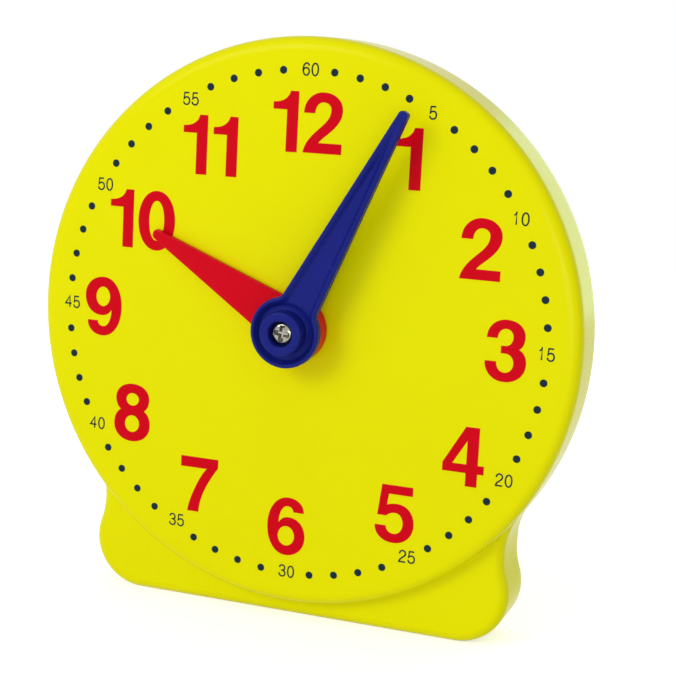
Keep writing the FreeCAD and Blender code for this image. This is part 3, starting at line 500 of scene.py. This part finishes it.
# inside out from the socket: hole, seat and counterbore, then over the boss to its foot
under, rim, bossTop = blue["under"], blue["rim"], blue["bossTop"]
bore, lip, bow = blue["bore"], blue["boreRounding"], blue["bossRounding"]
loops = circles([(blue["socket"], under), (blue["socket"], blue["socketTop"]),
                 (blue["screwHole"], blue["socketTop"]), (blue["screwHole"], blue["seat"]),
                 (bore, blue["seat"]), (bore, bossTop - lip)]
                + quarter(bore, bore + lip, bossTop - lip, bossTop, True, 4)[1:]
                + quarter(blue["boss"] - bow, blue["boss"], bossTop, bossTop - bow, False, 7)
                + [(blue["boss"], blue["groove"] + blue["footRounding"] + blue["footWall"])],
                crest)
# the front from the foot to the crest, closest where the height bends: at the foot and
# towards the crest
ring = circles([(blue["boss"], 0)], crest)[0][:, :2]
shares = np.concatenate([np.linspace(0, 0.06, 22), np.linspace(0.06, 0.66, 16)[1:],
                         np.linspace(0.66, 1, 22)[1:]])
fine = finer(crest)
for share in shares:
    plan = ring + share * (crest - ring)
    loops.append(np.column_stack([plan, blueFront(plan, fine)]))
loops[-len(shares)][:, 2] = blue["groove"] + blue["footRounding"]
# over the rim, down the side, and back to the socket in two steps under the hand
for share, height in quarter(1, 0, rim, rim - blue["rounding"], False, 7)[1:]:
    loops.append(insetLoop(outer, crest, share, height))
for share, height in quarter(0, blue["underIn"], under + blue["underRise"], under, True, 3):
    loops.append(insetLoop(outer, crest, share, height))
hole = circles([(blue["socket"], under)], crest)[0]
for share in (0.3, 0.65):
    loops.append(loops[-1] + share * (hole - loops[-1]))
shapedPiece("minute_hand", [(loops, True)], blue["angle"], bluePlastic)

# red hour hand: a deep hub like a short drum, and a flat tapered arm that runs into it
red = {
    # drum: the bevel is on its cap's hole and on all edges underneath
    "hub": 7.1, "hubTop": 5.15, "rounding": 0.5, "under": 0.55, "bevel": 0.15,
    "cap": 4.3, "capHole": 2.8, "socket": 4.05,
    # arm: it starts inside the drum's wall, "inWall" outside the socket. "bevelShare" is
    # the edge underneath, as a share of the way from the inner to the outer outline
    "root": 5.55, "tip": 1.1, "reach": 37.1, "corner": 0.001, "blunt": 0.9,
    "armTop": 2.05, "armRounding": 0.4, "inWall": 0.3, "bevelShare": 0.6,
    "angle": 297.9,
}
outline = handOutline(red["root"], red["root"], red["tip"], red["reach"], red["corner"],
                      red["blunt"])
under, top, bow, bevel = red["under"], red["hubTop"], red["rounding"], red["bevel"]
drum = circles([(red["socket"], under), (red["socket"], red["cap"]),
                (red["capHole"], red["cap"]), (red["capHole"], top - bevel),
                (red["capHole"] + bevel, top)]
               + quarter(red["hub"] - bow, red["hub"], top, top - bow, False, 7)
               + [(red["hub"], under + bevel), (red["hub"] - bevel, under)], outline)
top, bow = red["armTop"], red["armRounding"]
inner = outline * (1 - bow / red["root"])
start = red["socket"] + red["inWall"]
arm = circles([(start, under), (start, top)], outline)
arm += [insetLoop(inner, outline, share, height)
        for share, height in quarter(0, 1, top, top - bow, False, 7)]
arm += [insetLoop(inner, outline, 1, under + bevel),
        insetLoop(inner, outline, red["bevelShare"], under)]
shapedPiece("hour_hand", [(drum, True), (arm, True)], red["angle"], redPlastic)
print("hands shaped")


# a screw's grid: points round it, its rings over the head as shares of the head's radius,
# closer at the edge, the power of the dome and the height of its edge's small bevel
screwGrid = {"around": 96, "rings": [0.995, 0.98, 0.95, *np.linspace(0.9, 0.01, 40)],
             "dome": 5, "bevel": 0.1}


# pan head screws: the head is domed as h = top - (r / R)^5 edge, with a cross recess that
# narrows with depth; the plain shank stands in its boss
def screwHead(look, across, up, base, outwards):
    head, thick, edge = look["head"], look["thick"], look["edge"]
    angle = np.linspace(0, 2 * np.pi, screwGrid["around"], endpoint=False)
    ray = np.stack([np.cos(angle), np.sin(angle)], 1)
    turned = look["turn"]
    profile = [(0.0, -look["length"]), (look["shank"], -look["length"]), (look["shank"], 0.0),
               (head, 0.0), (head, thick - edge - screwGrid["bevel"])]
    loops = [np.column_stack([radius * ray, np.full(len(ray), height)])
             for radius, height in profile]
    for radius in head * np.array(screwGrid["rings"]):
        plan = radius * ray
        height = thick - edge * (radius / head) ** screwGrid["dome"]
        x = plan[:, 0] * math.cos(turned) + plan[:, 1] * math.sin(turned)
        y = plan[:, 1] * math.cos(turned) - plan[:, 0] * math.sin(turned)
        toArm = np.minimum(np.abs(x), np.abs(y))
        inArm = np.clip((look["slotHalf"] - toArm) / look["slotSlope"], 0, 1)
        inReach = np.clip((look["slotReach"] - radius) / (2 * look["slotSlope"]), 0, 1)
        height = height - look["slotDepth"] * np.minimum(inArm, inReach)
        loops.append(np.column_stack([plan, height]))
    loops.append(np.column_stack([0 * ray, np.full(len(ray), loops[-1][:, 2].mean())]))
    loops = np.array(loops)
    loops[:, :, 0] += across
    loops[:, :, 1] += up
    loops[:, :, 2] = base + (1 if outwards else -1) * loops[:, :, 2]
    return loops


handScrew = {"head": 2.35, "thick": 1.5, "edge": 0.45, "shank": 1.0, "length": 8.0,
             "slotHalf": 0.55, "slotSlope": 0.35, "slotReach": 1.8, "slotDepth": 1.0,
             "turn": 0.35}
handGrid = screwHead(handScrew, 0, 0, blue["seat"], True)
shapedPiece("hand_screw", [(handGrid, False)], blue["angle"], zincPlate)
coverScrew = {"head": 2.4, "thick": 1.3, "edge": 0.5, "shank": 1.25, "length": 6.9,
              "slotHalf": 0.36, "slotSlope": 0.12, "slotReach": 1.5, "slotDepth": 0.75}
# places from the dial's centre, the seat behind the face, and how far each was driven
coverPlaces = [
    {"across": -37.94, "up": 36.0, "seat": -12.5, "turn": 0.5},
    {"across": 37.94, "up": 36.0, "seat": -12.5, "turn": 1.2},
    {"across": -37.7, "up": -54.3, "seat": -16.7, "turn": 0.1},
    {"across": 37.7, "up": -54.3, "seat": -16.7, "turn": 0.9},
]
grids = [(screwHead({**coverScrew, "turn": spot["turn"]}, spot["across"], spot["up"],
                    spot["seat"], False), False) for spot in coverPlaces]
shapedPiece("cover_screws", grids, 0, zincPlate)
print("screws shaped")


# printed dial: an outline is a list of steps from a starting point, in thousandths of
# the radius of the ring of minute dots. "line" runs straight, "sideFirst" and "upFirst"
# are quarter bows that leave sideways or upright and arrive the other way, "curve" is a
# Bezier curve with its two handles, "oval" is a whole ellipse of two half widths.
printed = {
    "ringRadius": 54.5,
    "lift": 0.03,          # of the ink's top above the face
    "thick": 0.02,
    "dotRadius": 0.82,
    "dotPoints": 24,
    "bow": 0.58,           # handle share of a quarter bow, a little squarer than a circle
    "steps": 12,           # points on a bow
    "minuteHeight": 2.5,
    "minuteStroke": 0.34,
    "minutePitch": 800,    # from figure to figure, in a cell 1000 high
    "sharpest": 0.5,       # limit of a stroke's mitre, as the cosine of half its turn
}


# points along a path: each step adds a straight end point or samples of a cubic Bezier
def tracePath(steps):
    points = []
    share = np.linspace(0, 1, printed["steps"] + 1)[1:, None]
    bow = printed["bow"]
    for kind, *numbers in steps:
        pairs = np.array(numbers, float).reshape(-1, 2)
        if kind == "oval":
            angle = np.linspace(0, 2 * np.pi, 4 * printed["steps"], endpoint=False)
            centre, half = pairs
            points += list(centre + half * np.stack([np.cos(angle), np.sin(angle)], 1))
            continue
        end = pairs[-1]
        if kind in ("start", "line"):
            points.append(end)
            continue
        begin = points[-1]
        if kind == "curve":
            first, second = pairs[0], pairs[1]
        elif kind == "sideFirst":
            first = begin + bow * np.array([end[0] - begin[0], 0])
            second = end - bow * np.array([0, end[1] - begin[1]])
        else:
            first = begin + bow * np.array([0, end[1] - begin[1]])
            second = end - bow * np.array([end[0] - begin[0], 0])
        rest = 1 - share
        points += list(rest ** 3 * begin + 3 * rest ** 2 * share * first
                       + 3 * rest * share ** 2 * second + share ** 3 * end)
    return np.array(points)


numerals = {
    "0": [[("start", 0, 120), ("sideFirst", 81, 0), ("upFirst", 0, -120),
           ("sideFirst", -81, 0), ("upFirst", 0, 120)],
          [("start", 0, 80), ("sideFirst", 33, 0), ("upFirst", 0, -80),
           ("sideFirst", -33, 0), ("upFirst", 0, 80)]],
    "1": [[("start", 47, -117), ("line", 47, 117), ("line", 12, 117),
           ("curve", 6, 88, -20, 73, -57, 73), ("line", -57, 45), ("line", 0, 45),
           ("line", 0, -117)]],
    "2": [[("start", -79, 37), ("line", -33, 37), ("upFirst", 0, 80), ("sideFirst", 32, 52),
           ("curve", 32, -10, -62, -30, -79, -115), ("line", 80, -115), ("line", 80, -75),
           ("line", -15, -75), ("curve", 2, -48, 79, -12, 79, 50), ("upFirst", 0, 118),
           ("sideFirst", -79, 37)]],
    "3": [[("start", -77, 47), ("upFirst", -2, 120), ("sideFirst", 71, 60),
           ("curve", 71, 36, 64, 20, 50, 11), ("curve", 68, 3, 80, -16, 80, -43),
           ("upFirst", -2, -118), ("sideFirst", -80, -42), ("line", -35, -42),
           ("upFirst", -2, -82), ("sideFirst", 31, -46), ("upFirst", -2, -9),
           ("line", -20, -9), ("line", -20, 20), ("line", -4, 20), ("sideFirst", 25, 54),
           ("upFirst", -3, 85), ("sideFirst", -35, 47)]],
    "4": [[("start", 58, -115), ("line", 12, -115), ("line", 12, -63), ("line", -82, -63),
           ("line", -82, -30), ("line", 3, 118), ("line", 58, 118), ("line", 58, -29),
           ("line", 83, -29), ("line", 83, -63), ("line", 58, -63)],
          [("start", 12, -29), ("line", 12, 63), ("line", -43, -29)]],
    "5": [[("start", -57, 115), ("line", 70, 115), ("line", 70, 79), ("line", -27, 79),
           ("line", -33, 35), ("curve", -20, 40, -6, 42, 10, 42), ("sideFirst", 80, -37),
           ("upFirst", -1, -117), ("sideFirst", -79, -50), ("line", -33, -50),
           ("upFirst", 0, -80), ("sideFirst", 35, -37), ("upFirst", 2, 5),
           ("curve", -12, 5, -25, 0, -33, -10), ("line", -71, -10)]],
    "6": [[("start", 72, 61), ("upFirst", 4, 119), ("sideFirst", -82, 0),
           ("upFirst", 0, -120), ("sideFirst", 80, -40), ("upFirst", 10, 38),
           ("curve", -10, 38, -24, 30, -34, 13), ("upFirst", 2, 83), ("sideFirst", 27, 61)],
          [("oval", 0, -40, 35, 40)]],
    "7": [[("start", -82, 115), ("line", 83, 115), ("line", 83, 80),
           ("curve", 25, -4, 5, -60, 3, -113), ("line", -47, -113),
           ("curve", -43, -60, 10, 52, 33, 71), ("line", -82, 71)]],
    "8": [[("start", 0, 120), ("sideFirst", 75, 60), ("curve", 75, 38, 68, 20, 52, 10),
           ("curve", 70, 0, 81, -20, 81, -50), ("upFirst", 0, -121), ("sideFirst", -81, -50),
           ("curve", -81, -20, -70, 0, -52, 10), ("curve", -68, 20, -75, 38, -75, 60),
           ("upFirst", 0, 120)],
          [("oval", 0, 55, 28, 26)], [("oval", 0, -47, 32, 35)]],
    "9": [[("start", -73, -60), ("upFirst", -4, -121), ("sideFirst", 80, 2),
           ("upFirst", -3, 122), ("sideFirst", -85, 43), ("upFirst", -12, -37),
           ("curve", 8, -37, 24, -29, 34, -11), ("upFirst", -2, -82),
           ("sideFirst", -27, -60)],
          [("oval", -5, 41, 31, 40)]],
}
# where each hour stands, and the shift of its figures from there
hours = [
    ("twelve", 5, 800, [("1", -87), ("2", 62)]),
    ("one", 420, 690, [("1", 3)]),
    ("two", 721, 373, [("2", 0)]),
    ("three", 843, 0, [("3", 0)]),
    ("four", 707, -425, [("4", 0)]),
    ("five", 446, -691, [("5", 0)]),
    ("six", -3, -807, [("6", 0)]),
    ("seven", -393, -691, [("7", 0)]),
    ("eight", -703, -427, [("8", 0)]),
    ("nine", -846, 0, [("9", 0)]),
    ("ten", -682, 370, [("1", -89), ("0", 61)]),
    ("eleven", -396, 686, [("1", -63), ("1", 66)]),
]


# dial frame to world, in metres: x stays, the dial's up is z, its outward height is -y
def ontoFace(points, height):
    return np.stack([points[:, 0] + dialCentre[0],
                     np.broadcast_to(dialCentre[1] - height, len(points)),
                     points[:, 1] + dialCentre[2]], 1)


# a thin slab with the outline of closed loops, loops inside others are holes
def inkShape(name, loops, material):
    curve = bpy.data.curves.new(name, "CURVE")
    curve.dimensions = "2D"
    curve.fill_mode = "BOTH"
    curve.extrude = printed["thick"] * mm / 2
    for loop in loops:
        # a point that repeats the one before it goes
        loop = loop[np.linalg.norm(loop - np.roll(loop, 1, 0), axis=1) > 0.001 * mm]
        spline = curve.splines.new("POLY")
        spline.points.add(len(loop) - 1)
        flat = np.zeros((len(loop), 4))
        flat[:, :2] = loop
        flat[:, 3] = 1
        spline.points.foreach_set("co", flat.ravel())
        spline.use_cyclic_u = True
    holder = bpy.data.objects.new(name, curve)
    mesh = bpy.data.meshes.new_from_object(holder)
    bpy.data.objects.remove(holder)
    points = np.empty(len(mesh.vertices) * 3)
    mesh.vertices.foreach_get("co", points)
    points = points.reshape(-1, 3)
    lift = (printed["lift"] - printed["thick"] / 2) * mm
    mesh.vertices.foreach_set("co", ontoFace(points, lift + points[:, 2]).ravel())
    mesh.update()
    finishPiece(name, mesh, material, "case")


for name, across, up, figures in hours:
    loops = []
    for figure, shift in figures:
        for outline in numerals[figure]:
            loops.append((tracePath(outline) + (across + shift, up))
                         * printed["ringRadius"] * mm / 1000)
    inkShape(name + "Figure", loops, redInk)
print("hour figures printed")


# minute figures: thin strokes along centre lines in a cell 1000 high
strokes = {
    "0": [[("start", 0, 500), ("sideFirst", 270, 0), ("upFirst", 0, -500),
           ("sideFirst", -270, 0), ("upFirst", 0, 500)]],
    "1": [[("start", -150, 270), ("curve", -20, 290, 40, 380, 50, 500), ("line", 50, -500)]],
    "2": [[("start", -260, 200), ("upFirst", 0, 500), ("sideFirst", 260, 230),
           ("curve", 260, -40, -270, -170, -280, -500), ("line", 280, -500)]],
    "3": [[("start", -250, 270), ("upFirst", 0, 500), ("sideFirst", 240, 260),
           ("upFirst", -30, 30), ("sideFirst", 275, -220), ("upFirst", 0, -500),
           ("sideFirst", -275, -220)]],
    "4": [[("start", 120, -500), ("line", 120, 500), ("line", -300, -180),
           ("line", 290, -180)]],
    "5": [[("start", 230, 500), ("line", -190, 500), ("line", -245, -10),
           ("curve", -150, 90, -70, 130, 20, 130), ("sideFirst", 275, -180),
           ("upFirst", 0, -500), ("sideFirst", -275, -240)]],
    "6": [[("start", 250, 270), ("upFirst", 20, 500), ("sideFirst", -270, -20),
           ("upFirst", 0, -500), ("sideFirst", 270, -180), ("upFirst", 0, 110),
           ("sideFirst", -265, -180)]],
}


# outline of a stroke: the centre line moved half a width to each side along its normals
def strokeLoop(line, width):
    step = np.diff(line, axis=0)
    step /= np.linalg.norm(step, axis=1, keepdims=True)
    along = np.vstack([step[:1], step[:-1] + step[1:], step[-1:]])
    along /= np.linalg.norm(along, axis=1, keepdims=True)
    corner = np.concatenate([[1], (along[1:-1] * step[1:]).sum(1), [1]])[:, None]
    side = np.stack([-along[:, 1], along[:, 0]], 1) / np.maximum(corner, printed["sharpest"])
    side *= width / 2
    return np.vstack([line + side, (line - side)[::-1]])


# a stroke's outline and the quads that join its two sides
def strokeMesh(line, width):
    loop = strokeLoop(line, width)
    count = len(line)
    index = np.arange(count - 1)
    faces = np.stack([index, 2 * count - 1 - index, 2 * count - 2 - index, index + 1], 1)
    return loop, faces


# how far, in millimetres across and up, the printer's figures stand off the dots' ring
drift = {
    5: (0.13, 0.04), 10: (-0.16, 0.0), 15: (-0.23, 0.27), 20: (0.25, 0.21), 25: (0.36, 0.6),
    30: (0.35, 0.37), 35: (0.75, 0.8), 40: (0.25, 0.56), 45: (0.49, 0.32), 50: (0.65, 0.0),
    55: (0.57, -0.19), 60: (0.37, 0.11),
}
for minute in range(5, 65, 5):
    angle = math.radians(6 * minute)
    centre = printed["ringRadius"] * np.array([math.sin(angle), math.cos(angle)])
    centre = centre + drift[minute]
    text = str(minute)
    size = printed["minuteHeight"] / 1000
    vertices, faces = [], []
    for place, digit in enumerate(text):
        shift = (place - (len(text) - 1) / 2) * printed["minutePitch"] * size
        for line in strokes[digit]:
            loop, quads = strokeMesh(tracePath(line) * size, printed["minuteStroke"])
            faces += (quads + len(vertices)).tolist()
            vertices += (loop + centre + (shift, 0)).tolist()
    placed = ontoFace(np.array(vertices) * mm, printed["lift"] * mm)
    mesh = bpy.data.meshes.new("minute%dMesh" % minute)
    mesh.from_pydata(placed.tolist(), [], faces)
    finishPiece("minuteFigure%d" % minute, mesh, navyInk, "case")

# minute dots: flat discs, none where a figure stands
angle = np.radians([6 * minute for minute in range(60) if minute % 5])
around = np.linspace(0, 2 * np.pi, printed["dotPoints"], endpoint=False)
middles = printed["ringRadius"] * np.stack([np.sin(angle), np.cos(angle)], 1)
rings = middles[:, None] + printed["dotRadius"] * np.stack([np.cos(around), np.sin(around)], 1)
placed = ontoFace(rings.reshape(-1, 2) * mm, printed["lift"] * mm)
faces = np.arange(len(placed)).reshape(-1, printed["dotPoints"])
mesh = bpy.data.meshes.new("minuteDotsMesh")
mesh.from_pydata(placed.tolist(), [], faces.tolist())
finishPiece("minuteDots", mesh, navyInk, "case")
print("minute ring printed")


# floor's half width in metres and its glow, and the sky's strength where it lights
# things and where it is seen
room = {"reach": 0.7, "floorColour": "f2f2f2", "floorGlow": 0.55,
        "skyLights": 0.56, "skySeen": 1.0}


# 1 where the camera, a reflection or a transparent piece sees a surface, 0 where it only
# lights others
def seenDirectly(tree):
    path = addNode(tree, "ShaderNodeLightPath")
    seen = path.outputs["Is Camera Ray"]
    for ray in ("Is Glossy Ray", "Is Transmission Ray"):
        seen = addNode(tree, "ShaderNodeMath", {0: seen, 1: path.outputs[ray]},
                       operation="MAXIMUM").outputs[0]
    return seen


# pale floor that shows white to the camera and in reflections but keeps the shadow
def paleFloor():
    material, tree = newMaterial("paleFloor")
    strength = addNode(tree, "ShaderNodeMath",
                       {0: seenDirectly(tree), 1: room["floorGlow"]}, operation="MULTIPLY")
    matt = addNode(tree, "ShaderNodeBsdfDiffuse", {"Color": linearColour(room["floorColour"])})
    glow = addNode(tree, "ShaderNodeEmission", {"Strength": strength.outputs[0]})
    both = addNode(tree, "ShaderNodeAddShader", {0: matt.outputs[0], 1: glow.outputs[0]})
    addNode(tree, "ShaderNodeOutputMaterial", {"Surface": both.outputs[0]})
    return material


reach = room["reach"]
mesh = bpy.data.meshes.new("floorMesh")
mesh.from_pydata([(-reach, -reach, 0), (reach, -reach, 0), (reach, reach, 0),
                  (-reach, reach, 0)], [], [(0, 1, 2, 3)])
floor = bpy.data.objects.new("floor", mesh)
mesh.materials.append(paleFloor())
bpy.context.scene.collection.objects.link(floor)

world = bpy.data.worlds.new("studio")
bpy.context.scene.world = world
world.use_nodes = True
tree = world.node_tree
tree.nodes.clear()
strength = addNode(tree, "ShaderNodeMapRange",
                   {"Value": seenDirectly(tree), "To Min": room["skyLights"],
                    "To Max": room["skySeen"]})
sky = addNode(tree, "ShaderNodeBackground",
              {"Color": linearColour("ffffff"), "Strength": strength.outputs[0]})
addNode(tree, "ShaderNodeOutputWorld", {"Surface": sky.outputs[0]})


# soft boxes that all look at the middle of the clock: place and size in metres, and power
lookAt = Vector((0, -0.01, 0.065))
studio = {
    "key": {"place": (-0.45, -0.85, 0.5), "size": (0.45, 0.45), "watts": 3.25,
            "colour": "fffdf6"},
    "back": {"place": (0.33, 0.9, 0.2), "size": (0.6, 0.6), "watts": 1.4,
             "colour": "d6ffe0"},
    "front": {"place": (0.3, -0.95, 0.0), "size": (0.5, 0.3), "watts": 2.6,
              "colour": "ffffff"},
}
for name, lamp in studio.items():
    data = bpy.data.lights.new(name, "AREA")
    data.shape = "RECTANGLE"
    data.size, data.size_y = lamp["size"]
    data.energy = lamp["watts"]
    data.color = linearColour(lamp["colour"])[:3]
    holder = bpy.data.objects.new(name, data)
    holder.visible_camera = False
    bpy.context.scene.collection.objects.link(holder)
    aim = (lookAt - Vector(lamp["place"])).to_track_quat("-Z", "Y")
    holder.matrix_world = Matrix.Translation(lamp["place"]) @ aim.to_matrix().to_4x4()
print("studio lit")
